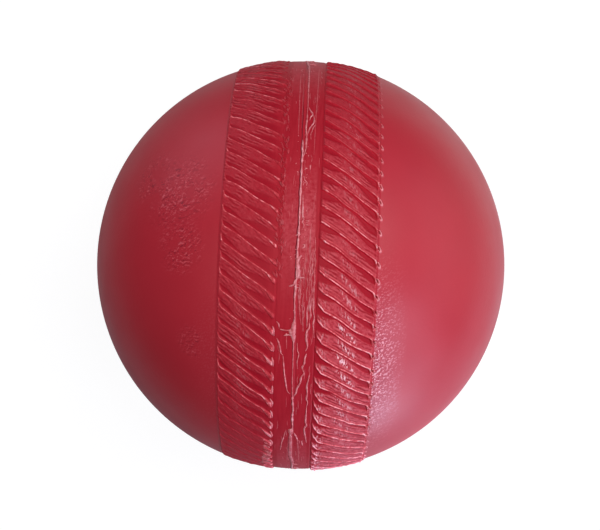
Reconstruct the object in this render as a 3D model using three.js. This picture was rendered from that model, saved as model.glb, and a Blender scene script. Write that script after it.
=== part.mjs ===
// A hollow plastic cricket ball: two like half-shells with moulded seam ribs, joined by a weld ring.
// Millimetres. The origin is the ball's centre, the seam lies in the YZ plane and X is the seam axis.
import * as THREE from "three";

// Ball
const ballRadius = 36;
const wallThickness = 4.2;

// Seam: a smooth channel between two ribbed bands, measured along the seam axis
const channelWidth = 6.3;
const bandWidth = 8.75;
const bandEdgeBevel = 0.3;

// Ribs of one band
const ribCount = 88;
const ribHeight = 0.38;
const grooveDepth = 0.15;
const ribSlantDegrees = 9;
const firstRibTurnDegrees = 1;
const ribBend = -0.1;
const ribEndShare = 0.4;

// Weld between the two rims, and how far out of step it joins the halves
const halvesTurnDegrees = 1;
const weldThickness = 0.5;
const flashHeight = 0.3;
const innerBeadHeight = 0.8;

// Fineness of the round surfaces
const roundSegments = 72;
const insideSegments = 48;
const domeSteps = 10;
const insideSteps = 8;
const beadSteps = 5;

const plasticColour = 0xb02030;
const flashColour = 0xd8707a;

const innerRadius = ballRadius - wallThickness;
const rimOffset = weldThickness / 2;
const bandStart = channelWidth / 2;
const bandEnd = bandStart + bandWidth;

// A rib's section: share of the pitch from one groove to the next, and share of the rib's height.
const ribSection = [
  { alongPitch: 0, height: 0 },
  { alongPitch: 0.25, height: 1 },
  { alongPitch: 0.7, height: 0.7 },
];

// Shares of the band's width where the ribs are drawn, closer together at the rounded ends.
const ribStations = [0, 0.12, 0.5, 0.88, 1];

// A point given by its turn about the seam axis (from +Z towards +Y), its offset along it and its radius.
function seamPoint(turn, offset, radius) {
  return { turn, offset, radius };
}

// A ring of evenly spaced points where a sphere meets the given offset along the seam axis.
function sphereRing(sphereRadius, offset, segments) {
  const radius = Math.sqrt(sphereRadius ** 2 - offset ** 2);
  return Array.from({ length: segments }, (_, index) =>
    seamPoint((2 * Math.PI * index) / segments, offset, radius));
}

// Rings on a sphere from one offset to its pole, in equal steps of latitude, the pole itself included.
function domeRings(sphereRadius, startOffset, steps, segments) {
  const startLatitude = Math.asin(startOffset / sphereRadius);
  const rings = [];
  for (let step = 0; step < steps; step += 1) {
    const latitude = startLatitude + ((Math.PI / 2 - startLatitude) * step) / steps;
    rings.push(sphereRing(sphereRadius, sphereRadius * Math.sin(latitude), segments));
  }
  rings.push([seamPoint(0, sphereRadius, 0)]);
  return rings;
}

// How far a rib has turned at a share of the band's width: nearly straight, a little steeper half-way.
function ribTurn(share) {
  const bend = (ribBend * Math.sin(2 * Math.PI * share)) / (2 * Math.PI);
  const turnDegrees = firstRibTurnDegrees - ribSlantDegrees * (share - 0.5 + bend);
  return THREE.MathUtils.degToRad(turnDegrees);
}

// The ring of rib and groove points at a share of the band's width.
function ribRing(share) {
  const swell = ribEndShare + (1 - ribEndShare) * Math.sin(Math.PI * share);
  const offset = bandStart + bandWidth * share;
  const radius = Math.sqrt(ballRadius ** 2 - offset ** 2);
  const pitch = (2 * Math.PI) / ribCount;
  const points = [];
  for (let rib = 0; rib < ribCount; rib += 1) {
    for (const { alongPitch, height } of ribSection) {
      const rise = ((ribHeight + grooveDepth) * height - grooveDepth) * swell;
      const growth = 1 + rise / ballRadius;
      points.push(seamPoint(ribTurn(share) + pitch * (rib + alongPitch), offset * growth, radius * growth));
    }
  }
  return points;
}

// Triangles between two neighbouring rings. Rings of equal count join point to point, others are zipped in
// order of their turn, and a ring of one point becomes the tip of a fan.
function zipRings(upperRing, lowerRing) {
  const fullTurn = 2 * Math.PI;
  const pointToPoint = upperRing.length === lowerRing.length;
  const wrapped = ({ turn }) => THREE.MathUtils.euclideanModulo(turn, fullTurn);
  const inOrder = (ring) => (pointToPoint ? ring : [...ring].sort((one, two) => wrapped(one) - wrapped(two)));
  const upper = inOrder(upperRing);
  const lower = inOrder(lowerRing);
  const at = (ring, place) => ring[place % ring.length];
  const progress = (ring, place) => (pointToPoint
    ? place
    : wrapped(at(ring, place)) + fullTurn * Math.floor(place / ring.length));
  const upperSteps = upper.length > 1 ? upper.length : 0;
  const lowerSteps = lower.length > 1 ? lower.length : 0;
  const triangles = [];
  let i = 0;
  let j = 0;
  while (i < upperSteps || j < lowerSteps) {
    const upperIsBehind = progress(upper, i + 1) <= progress(lower, j + 1);
    if (j === lowerSteps || (i < upperSteps && upperIsBehind)) {
      triangles.push([at(upper, i), at(upper, i + 1), at(lower, j)]);
      i += 1;
    } else {
      triangles.push([at(upper, i), at(lower, j + 1), at(lower, j)]);
      j += 1;
    }
  }
  return triangles;
}

// One closed surface through a list of rings that starts and ends with a single point.
function joinRings(rings) {
  const points = rings.flat();
  const indexOf = new Map(points.map((point, index) => [point, index]));
  const triangles = rings.slice(1).flatMap((ring, before) => zipRings(rings[before], ring));
  const positions = points.flatMap(({ turn, offset, radius }) =>
    [offset, radius * Math.sin(turn), radius * Math.cos(turn)]);
  const geometry = new THREE.BufferGeometry();
  geometry.setAttribute("position", new THREE.Float32BufferAttribute(positions, 3));
  geometry.setIndex(triangles.flat().map((point) => indexOf.get(point)));
  geometry.computeVertexNormals();
  return geometry;
}

// One half on the +X side: from its pole down the dome, over the ribs and the channel to the flat rim, and
// back up the inside.
function halfShellGeometry() {
  const dome = domeRings(ballRadius, bandEnd + bandEdgeBevel, domeSteps, roundSegments).reverse();
  const band = ribStations.map(ribRing).reverse();
  const channel = [
    sphereRing(ballRadius, bandStart - bandEdgeBevel, roundSegments),
    sphereRing(ballRadius, rimOffset, roundSegments),
  ];
  const inside = domeRings(innerRadius, rimOffset, insideSteps, insideSegments);
  return joinRings([...dome, ...band, ...channel, ...inside]);
}

// The fused ring: flat sides against the two rims, a low crown of flash outside and a bead inside.
function weldRingGeometry() {
  const outerEdge = Math.sqrt(ballRadius ** 2 - rimOffset ** 2);
  const innerEdge = Math.sqrt(innerRadius ** 2 - rimOffset ** 2);
  const section = [];
  for (let step = 0; step <= beadSteps; step += 1) {
    const angle = (Math.PI * step) / beadSteps;
    const offset = -rimOffset * Math.cos(angle);
    section.push(new THREE.Vector2(outerEdge + flashHeight * Math.sin(angle), offset));
  }
  for (let step = 0; step <= beadSteps; step += 1) {
    const angle = (Math.PI * step) / beadSteps;
    const offset = rimOffset * Math.cos(angle);
    section.push(new THREE.Vector2(innerEdge - innerBeadHeight * Math.sin(angle), offset));
  }
  section.push(section[0].clone());
  return new THREE.LatheGeometry(section, roundSegments).rotateZ(-Math.PI / 2);
}

function plastic(colour) {
  return new THREE.MeshStandardMaterial({ color: colour, roughness: 0.42, metalness: 0 });
}

const ball = new THREE.Group();

const rightHalfShell = new THREE.Mesh(halfShellGeometry(), plastic(plasticColour));
rightHalfShell.name = "right_half_shell";
ball.add(rightHalfShell);

// The other half is the same moulding, turned half a turn and welded on a little out of step.
const leftHalfShell = new THREE.Mesh(halfShellGeometry(), plastic(plasticColour));
leftHalfShell.name = "left_half_shell";
leftHalfShell.rotation.set(THREE.MathUtils.degToRad(halvesTurnDegrees), 0, Math.PI);
ball.add(leftHalfShell);

const weldRing = new THREE.Mesh(weldRingGeometry(), plastic(flashColour));
weldRing.name = "weld_ring";
ball.add(weldRing);

export default ball;
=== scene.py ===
"""A moulded plastic cricket ball: two ribbed half-shells and the ragged flash of the weld between them."""
import math
from types import SimpleNamespace

import bmesh
import bpy
import numpy as np
from mathutils import Matrix, Vector


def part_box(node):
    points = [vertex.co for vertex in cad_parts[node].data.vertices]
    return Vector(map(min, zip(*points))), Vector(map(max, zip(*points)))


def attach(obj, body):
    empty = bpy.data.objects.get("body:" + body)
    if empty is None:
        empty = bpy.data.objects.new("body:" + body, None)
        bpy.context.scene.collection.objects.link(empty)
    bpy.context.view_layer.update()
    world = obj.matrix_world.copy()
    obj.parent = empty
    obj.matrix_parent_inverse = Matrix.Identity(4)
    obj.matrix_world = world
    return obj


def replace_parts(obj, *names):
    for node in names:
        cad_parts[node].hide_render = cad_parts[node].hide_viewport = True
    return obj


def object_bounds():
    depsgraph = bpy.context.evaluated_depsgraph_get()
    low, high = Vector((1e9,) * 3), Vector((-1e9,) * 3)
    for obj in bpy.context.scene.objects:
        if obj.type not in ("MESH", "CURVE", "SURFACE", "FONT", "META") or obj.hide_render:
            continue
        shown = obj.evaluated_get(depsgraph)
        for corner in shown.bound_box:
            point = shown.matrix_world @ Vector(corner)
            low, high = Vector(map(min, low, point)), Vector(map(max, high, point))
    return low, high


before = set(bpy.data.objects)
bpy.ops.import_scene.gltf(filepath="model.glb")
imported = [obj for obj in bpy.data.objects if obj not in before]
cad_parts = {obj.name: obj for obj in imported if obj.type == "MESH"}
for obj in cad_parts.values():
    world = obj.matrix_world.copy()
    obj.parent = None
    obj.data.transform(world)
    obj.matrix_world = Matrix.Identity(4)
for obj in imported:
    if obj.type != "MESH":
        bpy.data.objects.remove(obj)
cad_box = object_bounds()

# Lengths are in millimetres and angles in degrees until a mesh is made. A turn goes about the seam axis, +X,
# from +Z towards +Y, and an offset lies along that axis. Pairs of numbers are the ends of a range, or the
# middle and the width of a bell. Pairs of ranges are the rise and the fall of a window.
MM = 0.001
BODY = "root"
WHITE = (1, 1, 1, 1)

# Ball and weld, from the frame
BALL_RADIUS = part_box("right_half_shell")[1].x / MM
RIM_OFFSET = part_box("weld_ring")[1].x / MM
FLASH_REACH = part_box("weld_ring")[1].z / MM

# Wall of the shells, and the room that is left inside the frame's outline
WALL = 4.2
EDGE_ROOM = 0.01

# Seam: a smooth channel between two ribbed bands
CHANNEL_HALF = 3.15
BAND_WIDTH = 8.75
RIB_COUNT = 88
RIB_PITCH = 360 / RIB_COUNT
PITCH_LENGTH = math.radians(RIB_PITCH) * BALL_RADIUS
RIB_SLANT = 9
RIB_BEND = -0.1
FIRST_CREST_TURN = 1 + RIB_PITCH / 4

# How the two bands differ, right first and then left. Widths are shares of the pitch, places are shares of
# the band's width counted from the channel, and heights are millimetres above the dome.
RIB_FORMS = dict(
    direction=(1, -1), halves_turn=(0, 1), band_edge=(1.03, 1.0),
    # bend of the crests at the channel
    tip_bend=(0.54, 0.26), tip_reach=(0.108, 0.20), tip_least=(0.0, 0.2),
    # grooves: a crease in the middle and a wedge at either end
    crease=(0.13, 0.10), crease_floor=(0.07, 0.09),
    inner_wedge=(0.34, 0.48), inner_reach=(0.31, 0.62), inner_floor=(0.0, 0.05),
    outer_wedge=(0.30, 0.22), outer_start=(0.50, 0.60), outer_full=(0.90, 0.92), outer_floor=(0.0, 0.05),
    hook_start=(0.92, 0.90), hook_end=(0.975, 0.97), wall=(0.07, 0.12),
    # heights of the pads, the crests and the ends of the ribs
    pad_height=(0.23, 0.17), pad_fall=(0.18, 0.25), end_fade=(0.03, 0.22),
    bead=(0.11, 0.06), bead_crease=(0.08, 0.02), second=(0.05, 0.0),
    knob_height=(0.40, 0.0), fan_width=(0.0, 0.38), slits=(1.0, 0.0), ditch=(0.8, 0.25),
    # wear, with painted shade in grooves, painted fill light on walls, painted highlights on crests, knobs
    # and fans, painted sheen where rubbed and painted glints on scratches
    worn_crest=(1.25, 0.52), worn_top=(0.65, 1.1), groove_tone=(1.0, 0.9), wall_tone=(0.8, 0.0),
    knob_tone=(1.0, 0.0), fan_tone=(0.0, 1.0), pad_tone=(1.0, 0.55), rubbed=(1.0, 0.0),
    streaks=(1.4, 0.9), scratches=(1.3, 0.15), grain=(1.0, 0.06), channel_rub=(0.78, 0.45),
    # changes towards the top and the bottom of the near side
    top_height=(0.5, 1.7), top_tone=(0.1, 1.0), top_folds=(0.1, 2.3), low_fade=(0.0, 0.8),
)
RIGHT_RIBS = SimpleNamespace(**{name: right for name, (right, left) in RIB_FORMS.items()})
LEFT_RIBS = SimpleNamespace(**{name: left for name, (right, left) in RIB_FORMS.items()})

# Crests, in millimetres from their steep wall: a bead, a crease and a second bead
BEAD = (0.08, 0.085)
BEAD_SIDES = (0.08, 0.17)
CREASE = (0.28, 0.07)
SECOND = (0.46, 0.08)

# Sway of the crests in shares of the pitch, height of the dents, and the step that slopes are measured over
CREST_WIGGLE = 0.035
DENT_HEIGHT = 0.01
SLOPE_STEP = 0.004

# Grooves, as shares of the pitch
WIDEST_GROOVE = 0.8
OPEN_WIDTH = 0.06
PAD_EDGE = (-0.03, 0.05)
GROOVE_EDGE = (-0.02, 0.01)
WALL_EDGE = (-0.01, 0.02)
WALL_SPAN = np.array([-1.6, -0.5])

# Where things begin and end across the band
BAND_START = -0.02
BAND_END = (0.97, 1.035)
CREST_START = (0.0, 0.03)
CREST_FADE = 0.03
SECOND_END = (0.6, 0.85)

# Ends of the ribs at the channel: knobs on one band, fans on the other, both with painted highlights
KNOB = (0.05, 0.06)
KNOB_SPAN = ((0.05, 0.085), (0.085, 0.13))
FAN_REACH = 0.19
FAN_HEIGHT = 0.27
FAN_SPAN = (-0.01, 0.04)
FAN_POINT = 0.8
FAN_START = (-0.005, 0.02)
FAN_LEAST = (0.02, 0.06)
FAN_SIDE = (-0.05, -0.01)
FAN_RIM = (-0.04, 0.02)
# Painted highlights on the fans' rims and feet, and on the fans' faces
FAN_RIM_HIGHLIGHT = (-0.05, 0.035)
FAN_FOOT_HIGHLIGHT = (0.02, 0.015)
FAN_FOOT_HIGHLIGHT_SHARE = 0.8
FAN_HIGHLIGHTS = (0.35, 1.0)

# Curls at the outer ends: a slit inside a raised lip, measured in half-widths of the curl. The slit takes
# painted shade and the lip a painted highlight.
CURL_PLACE = 0.85
CURL_SHARE = 1.015
CURL_LENGTH = 0.45
CURL_WIDTH = 0.23
CURL_LEAN = 0.5
SLIT = (0.0, 0.62)
SLIT_DEPTH = 0.45
LIP = (1.1, 0.32)
LIP_HEIGHT = 0.20

# Ditch between a band and the channel, which takes painted shade
DITCH_DEPTH = 0.12
DITCH = (-0.012, 0.1 / BAND_WIDTH)

# Wear of the ribs, with painted highlights on the second bead, painted shade in the crease beside each bead,
# and the scratch field's painted glints
SECOND_HIGHLIGHT = 6
# painted shade in the crease beside each bead
CREASE_SHADE = 9
PAD_TONES = (0.45, 1.0)
SCRATCH_PLACE = 0.68
SCRATCH_SLANT = -1.35
SCRATCH_MIDDLE = 0.4
SCRATCH_WIDTH = 0.19
SCRATCH_SPAN = ((0.34, 0.42), (0.62, 0.74))
INNER_SCRATCHES = 0.35
INNER_SCRATCHED = (0.10, 0.08)

# Chance from rib to rib, in the order it is drawn
RIB_CHANCES = dict(
    height=(0.9, 1.1), groove=(0.84, 1.16), fall=(0.6, 1.4), bead=(0.7, 1.3), knob=(0.7, 1.3),
    hook=(0.7, 1.3), worn=(0.8, 1.2), fan=(0.45, 1.2), fan_wide=(0.6, 1.2), tip=(0.85, 1.15),
    scratch=(0.55, 1.0),
)
RIGHT_SEED = 7
LEFT_SEED = 8
LUMP_COUNT = 9
LUMPS_AROUND = (90, 400)
LUMPS_ACROSS = (2, 9)
WIGGLES = (0.6, 2.2)

# Change from the top of the near side to the bottom, by turn
LOW_LEVEL = 0.32
LOW_SWING = 1.1
LOW_TURN = -10
CRISP_LEVEL = 1.15
CRISP_SWING = 1.3
CRISP_TURN = 8
CRISP_LEAST = 0.22
FADE_SPAN = ((-28, -52), (-95, -115))
LOW_WEAR_AND_HIGHLIGHT = 1.15
FAN_HIGHLIGHT_TO_LOW = (0.75, 1.35)
FAN_WIDTH_TO_LOW = (0.75, 1.4)
# Turn where the painted glints on the pads' scratches, and the grain's painted glints, are strongest
SCRATCH_GLINT_TURN = -26
SCRATCH_GLINT_SPREAD = 20
SCRATCH_GLINT_LEAST = 0.12

# Grain on the dome beside the band, which carries painted shade, painted glints and a painted sheen
GRAIN_SPREAD_UP = 17
GRAIN_SPREAD_DOWN = 26
GRAIN_END = 17.0
GRAIN_FADE = 4.5

# Where the channel is painted pale: partly rubbed wear, partly painted sheen
RUB_AND_SHEEN = (9, 13)
RUB_AND_SHEEN_ENDS = 0.4
RUB_AND_SHEEN_END_TURNS = (42, 64)

# Fineness of the shell meshes. The band's rows are shares of its width, each with the steps to the next.
RIB_COLUMNS = 20
CREST_DENSITY = 0.6
BAND_ROWS = [(1.12, 4), (1.085, 22), (0.94, 48), (0.15, 26), (-0.035, 3), (-0.07, 1)]
DOME_COLUMNS = 352
DOME_ROWS = 36
CHANNEL_ROWS = 8
INSIDE_COLUMNS = 88
INSIDE_ROWS = 14
RIM_STEP = 0.03


# Small helpers

def smooth_step(low, high, value):
    share = np.clip((value - low) / (high - low), 0, 1)
    return share * share * (3 - 2 * share)


def smooth_fall(low, high, value):
    return 1 - smooth_step(low, high, value)


def step_at(edge, span, value):
    return smooth_step(edge + span[0], edge + span[1], value)


def window(rise, fall, value):
    return smooth_step(*rise, value) * smooth_fall(*fall, value)


def bell(value, middle, width):
    return np.exp(-((value - middle) / width) ** 2)


def blend(start, end, share):
    return start + (end - start) * share


def even_turns(count):
    return np.arange(count) * 360 / count


def ring_points(turns, offset, radius):
    """Points of a ring about the seam axis."""
    angle = np.radians(turns)
    return np.stack([np.full(len(turns), offset), radius * np.sin(angle), radius * np.cos(angle)], axis=1)


def on_ball(turn, offset, height=0.0):
    """Points on the ball at a turn, an offset and a height above the dome."""
    turn = np.radians(np.asarray(turn, float))
    offset = np.asarray(offset, float)
    grown = 1 + np.asarray(height, float) / BALL_RADIUS
    ring = np.sqrt(BALL_RADIUS ** 2 - offset ** 2)
    across = ring * np.sin(turn) * grown
    up = ring * np.cos(turn) * grown
    return np.stack(np.broadcast_arrays(offset * grown, across, up), axis=-1)


def scene_object(name, data):
    item = bpy.data.objects.new(name, data)
    bpy.context.scene.collection.objects.link(item)
    return item


def mesh_object(name, points, faces, materials):
    mesh = bpy.data.meshes.new(name)
    mesh.from_pydata((np.asarray(points) * MM).tolist(), [], faces)
    mesh.shade_smooth()
    for material in materials:
        mesh.materials.append(material)
    piece = scene_object(name, mesh)
    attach(piece, BODY)
    return piece


def point_values(piece, name, values):
    attribute = piece.data.attributes.new(name, "FLOAT", "POINT")
    attribute.data.foreach_set("value", np.asarray(values, np.float32))


# Materials

# Colours in linear light
BODY_REDS = ((0.43, 0.0105, 0.024, 1), (0.47, 0.0135, 0.028, 1))
# Painted shade: the deep red of grooves, slits, the ditch and the crease beside each bead
SHADED_GROOVE_RED = (0.36, 0.005, 0.017, 1)
# Pale crests, lips and rib ends on the dome: partly wear, partly painted highlight
DOME_RIDGE_WEAR_AND_HIGHLIGHT = (0.95, 0.34, 0.38, 1)
# Painted sheen over the grain, then painted shade and painted glints on its slopes
GRAIN_SHEEN_PINK = (0.56, 0.08, 0.115, 1)
GRAIN_PAINTED_SHADE = (0.34, 0.02, 0.045, 1)
GRAIN_PAINTED_GLINT = (0.88, 0.42, 0.48, 1)
# Painted shade and painted highlight on the wrinkled skin's slopes
PEEL_SHADE = (0.25, 0.005, 0.016, 1)
PEEL_HIGHLIGHT = (0.60, 0.09, 0.115, 1)
PAD_REDS = ((0.41, 0.011, 0.026, 1), (0.54, 0.056, 0.074, 1))
PAD_FLECK = (0.34, 0.006, 0.018, 1)
SMOOTH_REDS = ((0.385, 0.009, 0.021, 1), (0.445, 0.016, 0.030, 1))
# Pale bluish pink: partly rubbed wear, partly painted sheen
RUBBED_SHEEN_PINK = (0.60, 0.088, 0.112, 1)
# Painted shade in the folds' creases and painted highlight on their tops
FOLD_CREASE_SHADE = (0.32, 0.003, 0.013, 1)
FOLD_TOP_HIGHLIGHT = (0.66, 0.11, 0.13, 1)
# Painted fill light: a brighter red on the right band's shaded crest walls
WALL_FILL_RED = (0.58, 0.010, 0.028, 1)
# Pale crests, knobs, fans and lips: partly wear, partly painted highlight
WEAR_AND_HIGHLIGHT_RED = (0.78, 0.10, 0.12, 1)
WEAR_AND_HIGHLIGHT_PINK = (1.0, 0.45, 0.49, 1)
# Painted glints on the scratches
SCRATCH_GLINT_PINK = (0.95, 0.55, 0.60, 1)
FLASH_REDS = ((0.62, 0.09, 0.11, 1), (0.90, 0.43, 0.46, 1))
FLASH_BODY = (0.45, 0.012, 0.026, 1)
# Painted shade in the split beside the weld
GAP_SHADE_RED = (0.22, 0.002, 0.012, 1)

# Gloss
DOME_SPECULAR = 0.4
DOME_ROUGHNESS = (0.38, 0.46)
GRAIN_GLOSS = -0.16
BAND_SPECULAR = 0.13
BAND_ROUGHNESS = (0.42, 0.52)
FLASH_SPECULAR = 0.25
FLASH_ROUGHNESS = (0.38, 0.48)

# Depths of the fine relief
DOME_TEXTURE = 0.016
GRAIN_DEPTH = 0.2
PEEL_DEPTH = 0.05
PAD_TEXTURE = 0.05
FOLD_DEPTH = 0.03
FLASH_TEXTURE = 0.03

# Grain and peeled skin: size of the wrinkles, and the small step towards the side that looks lit, which sets
# their painted shade and painted highlights
GRAIN_SIZE = 0.42
GRAIN_ROUGH = 0.6
GRAIN_LIT = (0.09, -0.11, 0.02)
PEEL_SIZE = 1.05
PEEL_LIT = (-0.07, 0.13, 0.02)

# Peeled skin: centre and reach of the patches, the full share of a patch, and where the underside begins
PEELED_PATCHES = [
    ((-19.0, 10.6, 28.7), 7.5), ((-23.5, 13.0, 24.0), 5.0),
    ((-18.2, 2.2, 31.0), 5.0), ((-16.0, -12.5, 29.8), 3.2),
]
PEEL_CORE = 0.45
UNDERSIDE = (8 * MM, -2 * MM)

# Folds that run along the pads, with painted shade in their creases and painted highlights on their tops
FOLDS_PER_RIB = 4
FOLD_BENDING = 8.0


class Nodes:
    """Short calls for building the node tree of a material or of the world."""

    def __init__(self, owner, shader="Principled BSDF"):
        owner.use_nodes = True
        self.owner = owner
        self.tree = owner.node_tree
        self.shader = self.tree.nodes[shader]

    def add(self, kind, inputs=None, **settings):
        """Adds a node and gives its outputs."""
        node = self.tree.nodes.new(kind)
        for key, value in settings.items():
            setattr(node, key, value)
        for key, value in (inputs or {}).items():
            self.put(node.inputs[key], value)
        return node.outputs

    def put(self, socket, value):
        if isinstance(value, bpy.types.NodeSocket):
            self.tree.links.new(value, socket)
        else:
            socket.default_value = value

    def shade(self, **values):
        """Sets inputs of the shader, named with low lines in place of spaces."""
        for name, value in values.items():
            self.put(self.shader.inputs[name.replace("_", " ")], value)

    def math(self, operation, first, second=0.0, clamp=False):
        return self.add("ShaderNodeMath", {0: first, 1: second}, operation=operation, use_clamp=clamp)[0]

    def times(self, first, second, clamp=False):
        return self.math("MULTIPLY", first, second, clamp)

    def plus(self, first, second):
        return self.math("ADD", first, second)

    def larger(self, first, second):
        return self.math("MAXIMUM", first, second)

    def vector(self, operation, first, second=(0, 0, 0)):
        return self.add("ShaderNodeVectorMath", {0: first, 1: second}, operation=operation)

    def ramp(self, value, low, high, start=0.0, end=1.0):
        """Goes from start to end while the value goes from low to high."""
        ends = {"From Min": low, "From Max": high, "To Min": start, "To Max": end}
        return self.add("ShaderNodeMapRange", {"Value": value, **ends})["Result"]

    def noise(self, place, size, detail=2.0, roughness=0.5):
        """Noise with features of the given size in millimetres."""
        inputs = {"Vector": place, "Scale": 1 / (size * MM), "Detail": detail, "Roughness": roughness}
        return self.add("ShaderNodeTexNoise", inputs)["Fac"]

    def blotches(self, place, size, limits, levels=(0.0, 1.0), detail=2.0, roughness=0.5):
        """Noise that is spread out from one limit to the other."""
        return self.ramp(self.noise(place, size, detail, roughness), *limits, *levels)

    def relief(self, place, size, towards, creased=False, detail=2.0, roughness=0.5):
        """How far the slopes of a noise, or of its creases, face a direction. Below zero they face away."""
        heights = []
        for point in (place, self.vector("ADD", place, Vector(towards) * MM)["Vector"]):
            height = self.noise(point, size, detail, roughness)
            if creased:
                height = self.math("ABSOLUTE", self.math("SUBTRACT", height, 0.5))
            heights.append(height)
        return self.math("SUBTRACT", *heights)

    def colour_mix(self, share, first, second, strength=1.0):
        """Goes from the first colour to the second by a share, which a strength below 1 weakens."""
        if strength < 1:
            share = self.times(share, strength)
        return self.add("ShaderNodeMix", {"Factor": share, 6: first, 7: second}, data_type="RGBA")[2]

    def attribute(self, name):
        return self.add("ShaderNodeAttribute", attribute_name=name)["Fac"]

    def place(self, space="Object"):
        return self.add("ShaderNodeTexCoord")[space]

    def drawn_out(self, place, share):
        """A place whose noise is drawn out square to the seam axis."""
        return self.add("ShaderNodeMapping", {"Vector": place, "Scale": (1.0, share, share)})["Vector"]

    def along(self, axis, place):
        return self.add("ShaderNodeSeparateXYZ", {"Vector": place})[axis]

    def finish(self, colour, roughness, height_mm, specular):
        bump = self.add("ShaderNodeBump", {"Height": height_mm, "Distance": MM, "Strength": 1.0})["Normal"]
        self.shade(Base_Color=colour, Roughness=roughness, Normal=bump, Specular_IOR_Level=specular)
        return self.owner


def new_material(name):
    return Nodes(bpy.data.materials.new(name))


def peeled_skin(nodes, place):
    """Where the dome's skin looks peeled: in the listed patches, and faintly here and there underneath."""
    mask = 0.0
    for centre, reach in PEELED_PATCHES:
        away = nodes.vector("DISTANCE", place, Vector(centre) * MM)["Value"]
        mask = nodes.larger(mask, nodes.ramp(away, reach * MM, PEEL_CORE * reach * MM))
    underside = nodes.ramp(nodes.along("Z", place), *UNDERSIDE)
    scattered = nodes.blotches(place, size=15.0, limits=(0.54, 0.86), detail=1.0)
    mask = nodes.larger(mask, nodes.times(scattered, underside))
    return nodes.times(mask, nodes.blotches(place, size=3.0, limits=(0.32, 0.52)))


def dome_plastic():
    """The smooth domes, with a coarse grain close to the bands and patches of wrinkled skin, each with
    painted shade and painted glints on its slopes, and a painted sheen over the grain.
    """
    nodes = new_material("red_dome_plastic")
    place = nodes.place()
    colour = nodes.colour_mix(nodes.noise(place, size=6.0, detail=3.0), *BODY_REDS)
    # painted shade in the grooves and slits
    colour = nodes.colour_mix(nodes.attribute("groove"), colour, SHADED_GROOVE_RED)
    # crests and lips: partly wear, partly painted highlight
    colour = nodes.colour_mix(nodes.attribute("ridge"), colour, DOME_RIDGE_WEAR_AND_HIGHLIGHT)

    grain = nodes.attribute("grain")
    # Painted sheen, shade and glints on the grain, from how its slopes face the light
    facing = nodes.relief(place, GRAIN_SIZE, GRAIN_LIT, roughness=GRAIN_ROUGH)
    grain_shade = nodes.times(nodes.ramp(facing, low=-0.02, high=-0.10), grain)
    grain_glints = nodes.times(nodes.ramp(facing, low=0.03, high=0.14), grain)
    colour = nodes.colour_mix(grain, colour, GRAIN_SHEEN_PINK, strength=0.35)
    colour = nodes.colour_mix(grain_shade, colour, GRAIN_PAINTED_SHADE, strength=0.75)
    colour = nodes.colour_mix(grain_glints, colour, GRAIN_PAINTED_GLINT)

    peeled = peeled_skin(nodes, place)
    # Painted shade and painted highlight on the wrinkles, from how their slopes face the light
    facing = nodes.relief(place, PEEL_SIZE, PEEL_LIT, creased=True, detail=2.5, roughness=0.55)
    shaded = nodes.times(nodes.ramp(facing, low=-0.02, high=-0.085), peeled)
    bright = nodes.times(nodes.ramp(facing, low=0.02, high=0.095), peeled)
    colour = nodes.colour_mix(shaded, colour, PEEL_SHADE)
    colour = nodes.colour_mix(bright, colour, PEEL_HIGHLIGHT)

    roughness = nodes.blotches(place, size=9.0, limits=(0.3, 0.7), levels=DOME_ROUGHNESS, detail=3.0)
    roughness = nodes.plus(roughness, nodes.times(grain, GRAIN_GLOSS))
    texture = nodes.times(nodes.noise(place, size=0.5), DOME_TEXTURE)
    wrinkles = nodes.times(nodes.noise(place, GRAIN_SIZE, roughness=GRAIN_ROUGH), GRAIN_DEPTH)
    folds = nodes.times(nodes.noise(place, PEEL_SIZE, detail=1.5), PEEL_DEPTH)
    height = nodes.plus(nodes.plus(texture, nodes.times(wrinkles, grain)), nodes.times(folds, peeled))
    return nodes.finish(colour, roughness, height, DOME_SPECULAR)


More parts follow.
